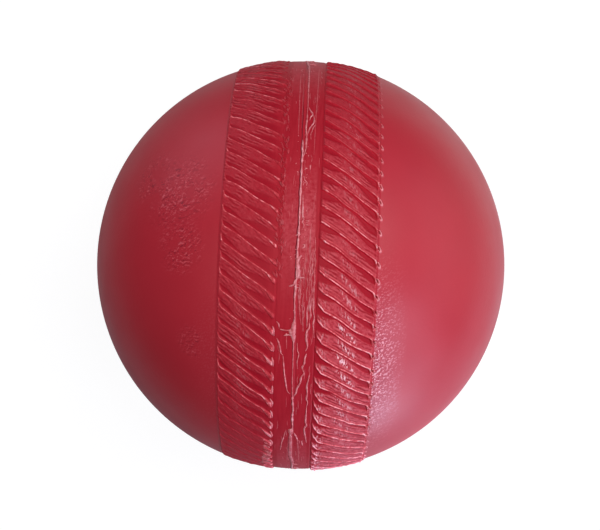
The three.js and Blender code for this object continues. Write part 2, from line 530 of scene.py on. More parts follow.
def band_plastic():
    """The ribbed bands and the channel: scuffed pads, grooves in painted deep red shade, and crests pale from
    wear and painted highlights, with painted glints, sheen and fold shading.
    """
    nodes = new_material("red_band_plastic")
    place = nodes.place()
    pad = nodes.attribute("pad")

    scuff = nodes.blotches(place, size=0.6, limits=(0.3, 0.75), detail=4.0, roughness=0.65)
    flecks = nodes.blotches(place, size=0.28, limits=(0.56, 0.66), detail=3.0, roughness=0.6)
    scuffed = nodes.colour_mix(scuff, *PAD_REDS)
    scuffed = nodes.colour_mix(flecks, scuffed, PAD_FLECK, strength=0.6)
    streaks = nodes.blotches(nodes.drawn_out(place, 0.09), size=0.35, limits=(0.35, 0.75), detail=3.0)
    colour = nodes.colour_mix(pad, nodes.colour_mix(streaks, *SMOOTH_REDS), scuffed)
    # partly rubbed wear, partly painted sheen on the channel and the lower pads
    rubbed = nodes.times(nodes.attribute("rubbed"), nodes.ramp(scuff, low=0.1, high=0.7))
    colour = nodes.colour_mix(rubbed, colour, RUBBED_SHEEN_PINK)

    bending = nodes.times(nodes.noise(place, size=1.6), FOLD_BENDING)
    waves = nodes.times(nodes.attribute("rib_place"), 2 * math.pi * FOLDS_PER_RIB)
    broken = nodes.times(nodes.attribute("streak"), nodes.blotches(place, size=2.0, limits=(0.35, 0.65)))
    folds = nodes.times(nodes.math("SINE", nodes.plus(waves, bending)), broken)
    # painted shade in the fold creases and painted highlight on the fold tops
    colour = nodes.colour_mix(nodes.ramp(folds, low=-0.3, high=-0.8), colour, FOLD_CREASE_SHADE, strength=0.85)
    colour = nodes.colour_mix(nodes.ramp(folds, low=0.35, high=0.9), colour, FOLD_TOP_HIGHLIGHT, strength=0.4)
    # painted shade in the grooves, slits, ditch and creases
    colour = nodes.colour_mix(nodes.attribute("groove"), colour, SHADED_GROOVE_RED)
    # painted fill light on the shaded crest walls
    colour = nodes.colour_mix(nodes.attribute("wall"), colour, WALL_FILL_RED)

    # Pale crests, knobs, fans and lips: partly wear, partly painted highlight
    chips = nodes.blotches(place, size=0.7, limits=(0.36, 0.56), levels=(0.3, 1.0), detail=3.0)
    stretches = nodes.blotches(place, size=2.4, limits=(0.36, 0.58), levels=(0.45, 1.05))
    ridge = nodes.times(nodes.attribute("ridge"), nodes.times(chips, stretches))
    colour = nodes.colour_mix(nodes.ramp(ridge, low=0.0, high=0.5), colour, WEAR_AND_HIGHLIGHT_RED)
    colour = nodes.colour_mix(nodes.ramp(ridge, low=0.3, high=0.9), colour, WEAR_AND_HIGHLIGHT_PINK)
    upright = nodes.drawn_out(place, 0.3)
    # Painted glints on the scratches of the pads
    hatch = nodes.blotches(upright, size=0.24, limits=(0.51, 0.56), detail=2.5, roughness=0.6)
    scratch_glinting = nodes.times(hatch, nodes.attribute("scratch"), clamp=True)
    colour = nodes.colour_mix(scratch_glinting, colour, SCRATCH_GLINT_PINK)

    roughness = nodes.ramp(scuff, 0.0, 1.0, *BAND_ROUGHNESS)
    texture = nodes.times(nodes.noise(place, size=0.35, detail=3.0, roughness=0.6), PAD_TEXTURE)
    height = nodes.plus(nodes.times(texture, pad), nodes.times(folds, FOLD_DEPTH))
    return nodes.finish(colour, roughness, height, BAND_SPECULAR)


def flash_plastic():
    """The pale flash, which darkens to the body's red where it is thin, with painted shade in the split
    beside the weld.
    """
    nodes = new_material("pale_weld_flash")
    place = nodes.place()
    blotch = nodes.blotches(place, size=0.6, limits=(0.3, 0.7), detail=3.0)
    colour = nodes.colour_mix(nodes.attribute("pale"), FLASH_BODY, nodes.colour_mix(blotch, *FLASH_REDS))
    # Painted shade in the split beside the weld line
    colour = nodes.colour_mix(nodes.attribute("gap"), colour, GAP_SHADE_RED)
    roughness = nodes.ramp(blotch, 0.0, 1.0, *FLASH_ROUGHNESS)
    texture = nodes.times(nodes.noise(place, size=0.25, detail=3.0), FLASH_TEXTURE)
    return nodes.finish(colour, roughness, texture, FLASH_SPECULAR)


# Ribs

def tip_bend(form, share, vary):
    """How far a crest's inner end bends up, as a share of the pitch."""
    return form.tip_bend * vary.tip * np.clip(1 - max(share, 0) / form.tip_reach, 0, 1)


def rib_turn(share):
    """Turn of a rib's crest at a share of the band's width, counted from the channel."""
    share = np.clip(share, 0, 1)
    bend = RIB_BEND * np.sin(2 * np.pi * share) / (2 * np.pi)
    return -RIB_SLANT * (share - 0.5 + bend)


def groove_sides(form, share, vary):
    """The groove's soft side at the pad, its steep side at the next crest, and the height of its floor."""
    inner_open = np.clip(1 - (max(share, 0) / form.inner_reach) ** 2, 0, 1)
    outer_open = smooth_step(form.outer_start, form.outer_full, share)
    wide = form.crease + form.inner_wedge * inner_open + form.outer_wedge * outer_open
    wide = np.minimum(wide * vary.groove + tip_bend(form, share, vary), WIDEST_GROOVE)
    round_hook = (share - form.hook_start) / (form.hook_end - form.hook_start)
    closing = np.sqrt(1 - np.clip(round_hook, 0, 1) ** 2)
    floor = form.crease_floor
    floor = floor + (form.inner_floor - floor) * inner_open + (form.outer_floor - floor) * outer_open
    return 1 - wide, 1 - wide * (1 - closing), floor


def from_crest_wall(form, place, share, steep_side, vary):
    """Millimetres from the steep wall of the crest before a place, measured square to the crest."""
    def slope(of_share):
        return (of_share(share + SLOPE_STEP) - of_share(share - SLOPE_STEP)) / (2 * SLOPE_STEP)

    hook_slope = slope(lambda at: groove_sides(form, at, vary)[1])
    tip_slope = slope(lambda at: tip_bend(form, at, vary))
    crest_slope = (RIB_SLANT / RIB_PITCH - hook_slope - tip_slope) * PITCH_LENGTH / BAND_WIDTH
    along = np.where(place > steep_side, place - steep_side, place + 1 - steep_side)
    return along * PITCH_LENGTH / np.sqrt(1 + crest_slope ** 2)


def inner_ends(form, place, share, vary):
    """Height of the knobs or fans that end the crests at the channel, and their painted highlight."""
    beside = np.mod(place + 0.5, 1) - 0.5
    knob = bell(beside, *KNOB) * window(*KNOB_SPAN, share) * vary.knob

    opening = math.sqrt(np.clip((share - FAN_SPAN[0]) / (FAN_SPAN[1] - FAN_SPAN[0]), 0, 1))
    room = opening * np.clip(1 - share / FAN_REACH, 0, 1) ** FAN_POINT
    width = form.fan_width * room * vary.fan_wide
    along_fan = smooth_step(*FAN_START, share) * smooth_step(*FAN_LEAST, width)
    fan = smooth_step(*FAN_SIDE, beside) * (1 - step_at(width, FAN_RIM, beside)) * along_fan
    rim = bell(beside - width, *FAN_RIM_HIGHLIGHT)
    edge = np.maximum(rim, FAN_FOOT_HIGHLIGHT_SHARE * bell(share, *FAN_FOOT_HIGHLIGHT))

    # Painted highlight on the knobs, and on the fans' faces, strongest at their rims
    height = np.maximum(form.knob_height * knob, FAN_HEIGHT * fan)
    worn = knob * form.knob_tone + fan * blend(*FAN_HIGHLIGHTS, edge) * form.fan_tone * vary.fan
    return height, worn


def outer_curls(form, place, share, vary):
    """The slits at the outer ends of the grooves, and the lips round them; the slits get painted shade and
    the lips a painted highlight.
    """
    along = (place - CURL_PLACE) * PITCH_LENGTH
    across = (share - CURL_SHARE) * BAND_WIDTH + CURL_LEAN * along
    from_middle = np.hypot(along / CURL_LENGTH, across / CURL_WIDTH)
    strength = vary.hook * form.slits
    return bell(from_middle, *SLIT) * strength, bell(from_middle, *LIP) * strength


def scratches(place, share, vary):
    """Painted glints on the scoring of the pads: a slanted field in the middle of the band, and a few near
    the channel.
    """
    middle = SCRATCH_PLACE + SCRATCH_SLANT * (share - SCRATCH_MIDDLE)
    field = bell(place, middle, SCRATCH_WIDTH) * window(*SCRATCH_SPAN, share) * vary.scratch
    few = INNER_SCRATCHES * bell(share, *INNER_SCRATCHED) * vary.low
    return np.maximum(field, few)


def rib_relief(form, place, share, vary, dents):
    """Height of a ribbed band above the dome, with how far each point is pad, groove in painted shade, wall
    in painted fill light, or crest pale from wear and painted highlight.

    place is the share of the pitch from one crest to the next, and share the place across the band. A rib is
    a raised bead along its crest and a broad pad beside it. The groove before the next crest is a thin crease
    in the middle, opens into a wedge at both ends and is closed at the outer end by the crest's bent end.
    """
    soft_side, steep_side, floor = groove_sides(form, share, vary)
    into_groove = step_at(soft_side, PAD_EDGE, place)
    is_open = smooth_step(0, OPEN_WIDTH, steep_side - soft_side) * (1 - vary.faded)
    in_groove = into_groove * smooth_fall(steep_side - form.wall, steep_side, place) * is_open
    ends = smooth_step(BAND_START, form.end_fade, share) * smooth_fall(*BAND_END, share)
    on_pad = (1 - in_groove) * ends

    from_wall = from_crest_wall(form, place, share, steep_side, vary)
    after_start = smooth_step(*CREST_START, share)
    before_end = smooth_fall(form.hook_end, form.hook_end + CREST_FADE, share)
    mid_crest = after_start * smooth_fall(*SECOND_END, share)
    bead = bell(from_wall, *BEAD) * before_end * after_start * vary.bead
    crease = bell(from_wall, *CREASE) * mid_crest
    second = bell(from_wall, *SECOND) * mid_crest

    fall = form.pad_fall * vary.fall * np.clip(place / soft_side, 0, 1) ** 2
    level = np.where(place > steep_side, 1, 1 - fall)
    pad = form.pad_height * vary.height * level + DENT_HEIGHT * dents
    pad = pad + form.bead * bead - form.bead_crease * crease + form.second * second
    end_height, end_highlight = inner_ends(form, place, share, vary)
    slit, lip = outer_curls(form, place, share, vary)
    ditch = bell(share, *DITCH) * form.ditch
    height = np.maximum((in_groove * floor + (1 - in_groove) * pad) * ends, end_height)
    height = height + LIP_HEIGHT * lip - SLIT_DEPTH * slit - DITCH_DEPTH * ditch

    # Strength of the painted shade and light at this place
    toned = is_open * ends * vary.toned
    # Painted shade: grooves, slits, the ditch and the crease by each bead take a darker red
    groove_tone = into_groove * (1 - step_at(steep_side, GROOVE_EDGE, place)) * toned * form.groove_tone
    groove_tone = groove_tone + slit + ditch + CREASE_SHADE * form.bead_crease * crease * ends
    # Painted fill light on the right band's crest walls, which lie in shade
    on_wall = into_groove * step_at(steep_side, WALL_SPAN * form.wall, place)
    wall_tone = on_wall * (1 - step_at(steep_side, WALL_EDGE, place)) * toned * form.wall_tone
    # Pale crests, second beads and lips: partly wear, partly painted highlight
    worn = form.worn_crest * vary.worn * (bead + SECOND_HIGHLIGHT * form.second * second) * on_pad
    beside_bead = 1 - bell(from_wall, *BEAD_SIDES)
    return height, {
        "pad": on_pad * form.pad_tone * blend(*PAD_TONES, vary.crisp),
        "groove": np.clip(groove_tone, 0, 1),
        "wall": wall_tone,
        "ridge": np.clip(worn + end_highlight + lip, 0, 1),
        "streak": on_pad * beside_bead * form.streaks * vary.folded,
        "scratch": scratches(place, share, vary) * on_pad * form.scratches,
        "rubbed": form.rubbed * vary.low * on_pad,
    }


def rib_variety(rng, form, turns):
    """How each rib differs from its neighbours, by chance and by where it is on the near side."""
    vary = {name: rng.uniform(*ends, RIB_COUNT) for name, ends in RIB_CHANCES.items()}
    low = np.clip(LOW_LEVEL - LOW_SWING * np.sin(np.radians(turns - LOW_TURN)), 0, 1)
    upper_part = np.maximum(np.sin(np.radians(turns - CRISP_TURN)), 0)
    crisp = np.clip(CRISP_LEVEL - CRISP_SWING * upper_part, CRISP_LEAST, 1)
    # Strength of the painted shade and light on the ribs, which follows their crispness
    toned = np.maximum(crisp, form.top_tone)
    faded = form.low_fade * window(*FADE_SPAN, turns)
    scratch_glinting = bell(turns, SCRATCH_GLINT_TURN, SCRATCH_GLINT_SPREAD)
    scratch_glinting = np.where(turns > 0, scratch_glinting ** 3, scratch_glinting)
    vary["height"] *= blend(form.top_height, 1, crisp)
    vary["bead"] *= 1 - faded
    vary["knob"] *= crisp
    vary["hook"] *= crisp
    # strength of the crests' wear and painted highlight
    vary["worn"] *= blend(form.worn_top, LOW_WEAR_AND_HIGHLIGHT, low) * toned ** 2
    vary["fan"] *= blend(*FAN_HIGHLIGHT_TO_LOW, low) * crisp ** 2
    vary["fan_wide"] *= blend(*FAN_WIDTH_TO_LOW, low) * crisp
    vary["tip"] *= blend(form.tip_least, 1, low)
    vary["scratch"] *= np.maximum(scratch_glinting, SCRATCH_GLINT_LEAST)
    folded = blend(form.top_folds, 1, crisp) * (1 - faded)
    vary.update(low=low, crisp=crisp, toned=toned, faded=faded, folded=folded)
    return vary


# Half-shells

def in_order(ring, turns):
    """A ring and its turns sorted by turn, closed by its first point again."""
    turns = np.mod(turns, 360)
    order = np.argsort(turns)
    first = order[0]
    return ring[np.append(order, first)].tolist(), np.append(turns[order], turns[first] + 360)


def zip_rows(upper, lower, upper_turns, lower_turns):
    """Triangles between two rings of different count, joined in order of their turn."""
    upper, upper_turns = in_order(upper, upper_turns)
    lower, lower_turns = in_order(lower, lower_turns)
    last_upper, last_lower = len(upper) - 1, len(lower) - 1
    faces = []
    i = j = 0
    while i < last_upper or j < last_lower:
        if j == last_lower or (i < last_upper and upper_turns[i + 1] <= lower_turns[j + 1]):
            faces.append((upper[i], upper[i + 1], lower[j]))
            i += 1
        else:
            faces.append((upper[i], lower[j + 1], lower[j]))
            j += 1
    return faces


class ShellRows:
    """Rings of points from the pole over the band to the rim and back inside, joined into one closed skin."""

    VALUES = ("pad", "groove", "wall", "ridge", "streak", "scratch", "rib_place", "grain", "rubbed")

    def __init__(self):
        self.points = []
        self.values = {name: [] for name in self.VALUES}
        self.faces = []
        self.face_materials = []
        self.count = 0
        self.last = None

    def add(self, points, turns, material=0, **values):
        count = len(points)
        index = np.arange(self.count, self.count + count)
        self.points.append(points)
        for name in self.VALUES:
            self.values[name].append(values.get(name, np.zeros(count)))
        self.count += count
        if self.last is not None:
            self.join(self.last[:2], (index, turns))
            new_faces = len(self.faces) - len(self.face_materials)
            self.face_materials += [min(material, self.last[2])] * new_faces
        self.last = (index, turns, material)

    def add_pole(self, radius):
        self.add(np.array([[radius, 0, 0]]), np.zeros(1))

    def join(self, upper, lower):
        upper_index, upper_turns = upper
        lower_index, lower_turns = lower
        next_upper = np.roll(upper_index, -1)
        next_lower = np.roll(lower_index, -1)
        if len(upper_index) == 1:
            tip = np.full(len(lower_index), upper_index[0])
            self.faces += np.stack([tip, next_lower, lower_index], axis=1).tolist()
        elif len(lower_index) == 1:
            tip = np.full(len(upper_index), lower_index[0])
            self.faces += np.stack([upper_index, next_upper, tip], axis=1).tolist()
        elif len(upper_index) == len(lower_index):
            self.faces += np.stack([upper_index, next_upper, next_lower, lower_index], axis=1).tolist()
        else:
            self.faces += zip_rows(upper_index, lower_index, upper_turns, lower_turns)


def sphere_row(radius, offset, count):
    turns = even_turns(count)
    return ring_points(turns, offset, math.sqrt(max(radius ** 2 - offset ** 2, 0))), turns


def near_turns(form, turns):
    """Turns from -180 to 180 on the finished ball, where one of the halves is turned round."""
    return np.mod(np.asarray(turns) * form.direction + 180, 360) - 180


def band_shares():
    """Shares of the band's width where it is drawn, from the dome to the channel, closer at both ends."""
    shares = []
    for (start, steps), (end, _) in zip(BAND_ROWS, BAND_ROWS[1:]):
        shares += np.linspace(start, end, steps, endpoint=False).tolist()
    return shares + [BAND_ROWS[-1][0]]


def grain_strength(form, turns, offset):
    """How coarse the grain is on the dome beside the band, with its painted glints and shade, most of all
    about the turn of the painted glints on the near side's pads.
    """
    sides = near_turns(form, turns)
    spread = np.where(sides > SCRATCH_GLINT_TURN, GRAIN_SPREAD_UP, GRAIN_SPREAD_DOWN)
    beside = np.clip((GRAIN_END - offset) / GRAIN_FADE, 0, 1)
    return form.grain * bell(sides, SCRATCH_GLINT_TURN, spread) * beside


def add_dome(rows, form):
    rows.add_pole(BALL_RADIUS)
    dome_start = math.asin((CHANNEL_HALF + BAND_WIDTH * BAND_ROWS[0][0]) / BALL_RADIUS)
    for latitude in np.linspace(math.pi / 2, dome_start, DOME_ROWS + 1)[1:-1]:
        offset = BALL_RADIUS * math.sin(latitude)
        points, turns = sphere_row(BALL_RADIUS, offset, DOME_COLUMNS)
        rows.add(points, turns, grain=grain_strength(form, turns, offset))


def add_band(rows, rng, form):
    even = np.arange(RIB_COLUMNS) / RIB_COLUMNS
    crest_dense = even - CREST_DENSITY * np.sin(2 * np.pi * even) / (2 * np.pi)
    place = np.tile(crest_dense, RIB_COUNT)
    rib = np.repeat(np.arange(RIB_COUNT), RIB_COLUMNS)
    # The ribs are counted from the underside of the ball.
    first_crest = FIRST_CREST_TURN + 180 + form.halves_turn
    vary = rib_variety(rng, form, near_turns(form, even_turns(RIB_COUNT) + first_crest))
    vary = SimpleNamespace(**{name: values[rib] for name, values in vary.items()})
    lumps = []
    for _ in range(LUMP_COUNT):
        lumps.append((rng.integers(*LUMPS_AROUND), rng.uniform(*LUMPS_ACROSS), rng.uniform(0, 2 * np.pi)))
    wiggle_count = rng.uniform(*WIGGLES, RIB_COUNT)
    wiggle_start = rng.uniform(0, 1, RIB_COUNT)
    around = (rib + place) / RIB_COUNT
    for share in band_shares():
        dents = 0
        for count, waves, start in lumps:
            dents = dents + np.sin(2 * np.pi * (count * around + waves * share) + start)
        height, values = rib_relief(form, place, share, vary, dents)
        sway = CREST_WIGGLE * np.sin(2 * np.pi * (wiggle_count * share + wiggle_start))
        bent = sway[rib] + tip_bend(form, share, vary)
        shift = blend(bent, np.roll(bent, -RIB_COLUMNS), place)
        turns = first_crest + RIB_PITCH * (rib + place + shift) + rib_turn(share)
        offset = CHANNEL_HALF + BAND_WIDTH * share
        room = BALL_RADIUS * (FLASH_REACH / math.sqrt(BALL_RADIUS ** 2 - offset ** 2) - 1)
        points = on_ball(turns, offset, np.minimum(height, room - EDGE_ROOM))
        grain = grain_strength(form, turns, offset) if share > 1 else np.zeros(len(turns))
        rows.add(points, turns, int(share < form.band_edge), rib_place=rib + place, grain=grain, **values)


def add_channel(rows, form):
    inner_offset = CHANNEL_HALF + BAND_WIDTH * BAND_ROWS[-1][0]
    channel = np.linspace(inner_offset, RIM_OFFSET + RIM_STEP, CHANNEL_ROWS + 1)[1:]
    for offset in [*channel, RIM_OFFSET]:
        points, turns = sphere_row(BALL_RADIUS, offset, DOME_COLUMNS)
        sides = near_turns(form, turns)
        # Pale patches on the channel: partly rubbed wear, partly painted sheen
        rubbed = form.channel_rub * bell(sides, *RUB_AND_SHEEN)
        rubbed = rubbed + RUB_AND_SHEEN_ENDS * smooth_step(*RUB_AND_SHEEN_END_TURNS, np.abs(sides))
        rows.add(points, turns, material=1, rubbed=rubbed)


def add_inside(rows):
    radius = BALL_RADIUS - WALL
    for latitude in np.linspace(math.asin(RIM_OFFSET / radius), math.pi / 2, INSIDE_ROWS + 1)[:-1]:
        rows.add(*sphere_row(radius, radius * math.sin(latitude), INSIDE_COLUMNS))
    rows.add_pole(radius)


def half_shell(name, seed, form, materials):
    """One half, drawn on the +X side and then turned round the upright axis if its direction says so."""
    rows = ShellRows()
    add_dome(rows, form)
    add_band(rows, np.random.default_rng(seed), form)
    add_channel(rows, form)
    add_inside(rows)
    points = np.concatenate(rows.points) * np.array([form.direction, form.direction, 1])
    piece = mesh_object(name, points, rows.faces, materials)
    piece.data.polygons.foreach_set("material_index", rows.face_materials)
    for value_name, values in rows.values.items():
        point_values(piece, value_name, np.concatenate(values))
    return piece


# Weld flash

# The weld line's wander: turn and offset, listed along the side that faces the camera
WELD_LINE = [
    (-62, -0.2), (-48, -0.2), (-45, 0.1), (-42, 0.0), (-39, 0.12), (-35, 0.0), (-30, -0.12), (-24, -0.12),
    (-19, -0.12), (-16, -0.1), (-12, -0.1), (-8, -0.2), (-4, -0.1), (0, -0.05), (4, -0.1), (7, 0.0),
    (15, 0.0), (22, 0.0), (28, 0.02), (32, -0.05), (40, -0.1), (48, -0.25), (58, -0.35),
]

# How strongly the weld line stands out: turn and share
WELD_STRENGTH = [
    (-70, 0.9), (-36, 1.0), (-34, 0.35), (-20, 0.35), (-17, 0.8), (-12, 0.5), (-7, 0.7), (-3, 1.0), (10, 0.9),
    (18, 1.1), (30, 1.0), (32.5, 0.0), (62, 0.0), (72, 0.9),
]

# Strands and smears of flash: half-width, height, then turns and offsets along the strand
STRANDS = [
    # zigzag beside the line in the middle
    (0.11, 0.12, [(8.4, 0.5), (9.6, 0.7), (10.4, 0.45), (11.2, 0.72), (12.4, 0.4), (14.5, 0.42), (17, 0.36)]),
    # right-hand line from the split upwards, and its loop
    (0.15, 0.16, [(27, 0.1), (29.5, 0.45), (33.5, 0.5), (36, 0.36), (39, 0.45), (42, 0.42)]),
    (0.16, 0.20, [(29.0, 0.02), (30.5, 0.0), (32.2, -0.05)]),
    (0.13, 0.16, [(34.4, 0.7), (36, 0.9), (37, 1.2), (38, 1.5), (39.2, 1.55), (40.6, 1.42)]),
    (0.13, 0.16, [(38.8, 0.85), (40, 1.0), (41, 1.3), (42, 1.0), (43.6, 0.58)]),
    (0.08, 0.08, [(34.8, 1.3), (36, 1.4), (37.3, 1.7)]),
    # whiskers beside the line in the middle
    (0.36, 0.28, [(-3.4, 0.05), (-2, 0.2), (-0.5, 0.05), (1.0, -0.05), (1.8, 0.3), (2.3, 0.52)]),
    (0.14, 0.24, [(-3.0, 0.1), (-2.95, 0.6), (-2.9, 1.15)]),
    (0.15, 0.20, [(-3.2, 0.1), (-3.7, -0.25), (-4.6, -0.42), (-5.0, -0.8), (-5.05, -1.15)]),
    (0.08, 0.10, [(-2.4, 0.8), (-1.6, 0.95), (-0.4, 0.78)]),
    (0.10, 0.12, [(4.0, 0.58), (4.4, 0.95), (4.9, 0.9), (4.85, 0.6)]),
    (0.08, 0.10, [(3.6, 0.0), (3.7, -0.5)]),
    (0.13, 0.16, [(7.05, -0.45), (7.2, -0.1), (7.4, 0.25)]),
    (0.14, 0.12, [(10.6, 0.65), (11.5, 0.5), (12, 0.45), (13.2, 0.5), (15, 0.4)]),
    (0.07, 0.08, [(10.7, 0.9), (10.6, 1.5)]),
    (0.07, 0.08, [(9.7, 0.9), (9.6, 1.5)]),
    (0.09, 0.09, [(19.5, 0.8), (20.3, 0.9), (21, 0.5), (21.9, 0.48)]),
    (0.08, 0.07, [(23.7, 1.3), (25.1, 1.25)]),
    (0.08, 0.06, [(-10.5, 0.5), (-8, 0.55), (-5, 0.5), (-3.8, 0.4)]),
    # star-shaped smear with two legs
    (0.40, 0.26, [(-18.8, -0.12), (-17.6, -0.2), (-16.4, -0.25), (-15.2, -0.22), (-13.4, -0.12)]),
    (0.46, 0.24, [(-17.2, -0.3), (-16.4, -0.5), (-15.4, -0.45)]),
    (0.12, 0.20, [(-17.2, -0.45), (-17.0, -0.95), (-17.25, -1.65)]),
    (0.14, 0.14, [(-16.9, -1.15), (-16.7, -1.35)]),
    (0.13, 0.20, [(-15.7, -0.5), (-15.9, -1.3), (-15.7, -2.25)]),
    (0.10, 0.12, [(-15.6, -2.38), (-14.5, -2.45), (-13.8, -2.8)]),
    # branches that leave the line lower down and run along the channel
    (0.20, 0.18, [(-35.6, 0.05), (-35, -0.1), (-34.3, 0.0)]),
    (0.17, 0.18, [(-34.2, 0.15), (-33, 0.5), (-31.7, 0.6), (-30, 1.05), (-28.3, 1.2), (-27.3, 1.58),
                  (-26.5, 1.5)]),
    (0.18, 0.18, [(-26.7, 1.5), (-25.5, 1.3), (-24.5, 1.58), (-23, 1.65), (-21.8, 1.85)]),
    (0.18, 0.18, [(-21.1, 1.7), (-20, 1.95), (-19, 1.9), (-18, 1.75), (-16, 1.8), (-15, 2.12), (-13.5, 2.1)]),
    (0.12, 0.13, [(-15, 1.75), (-13, 1.75), (-11, 1.7), (-9.5, 1.78)]),
    (0.14, 0.14, [(-13, 2.2), (-12, 2.28), (-11, 2.2), (-9.8, 2.1), (-8.4, 2.05)]),
    (0.12, 0.13, [(-17.5, 2.92), (-15.5, 2.78), (-14, 2.68), (-12.5, 2.82), (-10.5, 2.6), (-8.5, 2.6),
                  (-5, 2.65)]),
    (0.08, 0.07, [(-26, 0.6), (-24, 0.5), (-22, 0.72), (-21, 0.5), (-19, 0.4)]),
    (0.13, 0.14, [(-33.5, -0.45), (-32.6, -0.85), (-31, -1.05), (-28, -1.33), (-25, -1.53), (-22.6, -1.65)]),
    (0.14, 0.14, [(-22.4, -1.7), (-21.8, -2.0), (-20.5, -2.15), (-19, -2.4), (-18, -2.72)]),
    # wavy line near the right-hand ribs, then the blob and creases at the bottom
    (0.16, 0.15, [(-52.5, 2.4), (-50, 2.2), (-46, 1.95), (-44.5, 2.28), (-43, 2.1), (-40, 2.15),
                  (-37.5, 2.2)]),
    (0.15, 0.15, [(-37.6, 2.2), (-36, 2.32), (-35, 2.1), (-33, 2.2), (-31, 2.1), (-29, 2.3), (-27, 2.5)]),
    (0.42, 0.26, [(-48.4, -0.1), (-47.2, -0.2), (-46.1, -0.25)]),
    (0.15, 0.14, [(-47.4, 0.25), (-49.5, 0.7), (-51.4, 1.02)]),
    (0.10, 0.08, [(-51.5, 1.55), (-54, 1.8)]),
    (0.10, 0.08, [(-47, -1.0), (-50, -1.3), (-53, -1.6), (-57, -1.8)]),
]

# Faint mould lines along the channel: half-width, height, paleness, then turns and offsets
MOULD_LINES = [
    (0.13, 0.10, 0.6, [(41, 0.43), (45, 0.45), (52, 0.4), (60, 0.36), (72, 0.3)]),
    (0.10, 0.03, 0.3, [(34, -0.8), (42, -0.85), (50, -0.95), (60, -1.0)]),
    (0.12, 0.03, 0.2, [(28, 1.75), (40, 1.8), (52, 1.9), (66, 1.95)]),
    (0.08, 0.03, 0.22, [(36, -0.35), (46, -0.4), (58, -0.45)]),
    (0.10, 0.03, 0.2, [(-66, -0.75), (-58, -0.7), (-50, -0.55)]),
    (0.12, 0.03, 0.25, [(-64, 1.2), (-57, 1.1), (-51, 0.9)]),
]

# Random strands: how many, and the ranges of their measures
WHISKERS = dict(
    count=46, turns=(70, 292), shift=(-2, 2), reach=(0.4, 1.5), lean=(-2.5, 2.5),
    width=(0.07, 0.15), height=(0.08, 0.18),
)
CRUMBS = dict(
    count=520, turns=(-180, 180), offset=(0.2, 1.1), lean=(-0.25, 0.25), length=(-0.4, 0.4),
    width=(0.03, 0.07), height=(0.02, 0.06),
)
# Turns without crumbs
CRUMB_GAPS = [(-62, -14), (34, 62)]
SCUFFS = dict(
    count=260, turns=(-180, 180), offset=(0.4, 2.9), length=(1.0, 4.0), bow=(-0.12, 0.12),
    drift=(-0.1, 0.1), width=(0.04, 0.08), height=(0.015, 0.04), pale=(0.12, 0.4),
)
COMBED = dict(
    count=34, turns=(-17, 3), offset=(0.7, 2.75), length=(3, 9), sway=(-0.13, 0.13),
    width=(0.05, 0.10), height=(0.05, 0.12), pale=(0.2, 0.6),
)
CRUMPLES = dict(
    count=150, turns=(-4, 58), offset=(-3.2, -2.2), lean=(-0.3, 0.7), middle=(0.3, 1.0),
    width=(0.06, 0.16), height=(0.06, 0.2), pale=(0.0, 0.18),
)
CRUMPLE_LENGTH = 1.2
CRUMPLE_BEND = 0.4
WHISKER_ROOT = 0.05
WHISKER_BEND = 0.4
WAVE_STEP = 0.8

# Hooks at the lowest left ribs: half-width, height and paleness, and points with their turn from the rib,
# their offset and their share of the random reach
HOOKS = dict(count=10, slanted=(0.7, 1.5), upright=(0, 0.5))
FIRST_HOOK_TURN = -16.8
UPRIGHT_HOOK = (0.17, 0.24, 0.6)
UPRIGHT_POINTS = [(-0.7, -3.12, 0), (0.6, -3.2, 0), (1.8, -3.15, 1)]
SLANTED_HOOK = (0.15, 0.24, 0.5)
SLANTED_POINTS = [(-0.6, -3.2, 0), (0.3, -3.3, 0.5), (1.6, -3.25, 1)]

# Zigzags below the hooks: their first turns and reaches, then half-width, height and paleness
ZIGZAGS = [(-52, 20), (-57, 16)]
ZIGZAG_LINE = (0.10, 0.25, 0.6)
ZIGZAG_OFFSET = -3.75
ZIGZAG_DRIFT = -0.05
ZIGZAG_SWING = 0.7
ZIGZAG_SWINGS = (0.5, 1.1)

# Section of the flash: shares of its half-width and of its height, with feet that are sunk
STRAND_SECTION = [(-1.0, None), (-0.62, 0.6), (0.0, 1.0), (0.62, 0.6), (1.0, None)]
STRAND_STEP = 0.14
STRAND_SINK = 0.05
STRAND_PALENESS = 0.75
STRAND_TIP = 0.1
STRAND_ENDS = (0.02, 0.98)
RAGGED_STEPS = 2
RAGGED_WIDTH = 0.3
RAGGED_HEIGHT = 0.35
SPLINE_STEPS = 24
LEAST_STEPS = 5
LEAST_KNOTS = 4
FLASH_LIMIT = FLASH_REACH - BALL_RADIUS - EDGE_ROOM
FLASH_SEED = 41

# The weld line and the split beside it
WELD_STEPS = 1440
LINE_SINK = 0.22
LINE_HALF_WIDTH = 0.155
LINE_HEIGHT = 0.11
LINE_RAGGED_STEPS = 3
LINE_RAGGED_WIDTH = 0.5
LINE_RAGGED_HEIGHT = 0.6
WEAK_WIDTH = 0.4
WEAK_HEIGHT = 0.15
PALE_CURVE = 0.7
LISTED_SPAN = ((-66, -60), (56, 62))
WANDER = 0.18
WANDER_STEPS = 30
JITTER = 0.03
STRIP_SPAN = ((-72, -64), (-50, -47.5))
STRIP_WIDTH = 0.19
STRIP_TONE = 0.5
GAP_SPAN = ((-7, -3), (46, 54))
GAP_WIDTH = 0.12
GAP_LEAST = 0.02
GAP_LIFT = 0.012
GAP_INNER_EDGE = 0.96
GAP_PATCHES = (0.1, 0.5)
GAP_PATCH_STEPS = 25
GAP_PATCH_SHARE = 0.7
GAP_SIDES = (0, 1, 2)

# The fused web between the rims
WEB_SINK = 0.005
INNER_BEAD = 0.8
INNER_BEAD_ANGLES = [40, 90, 140]


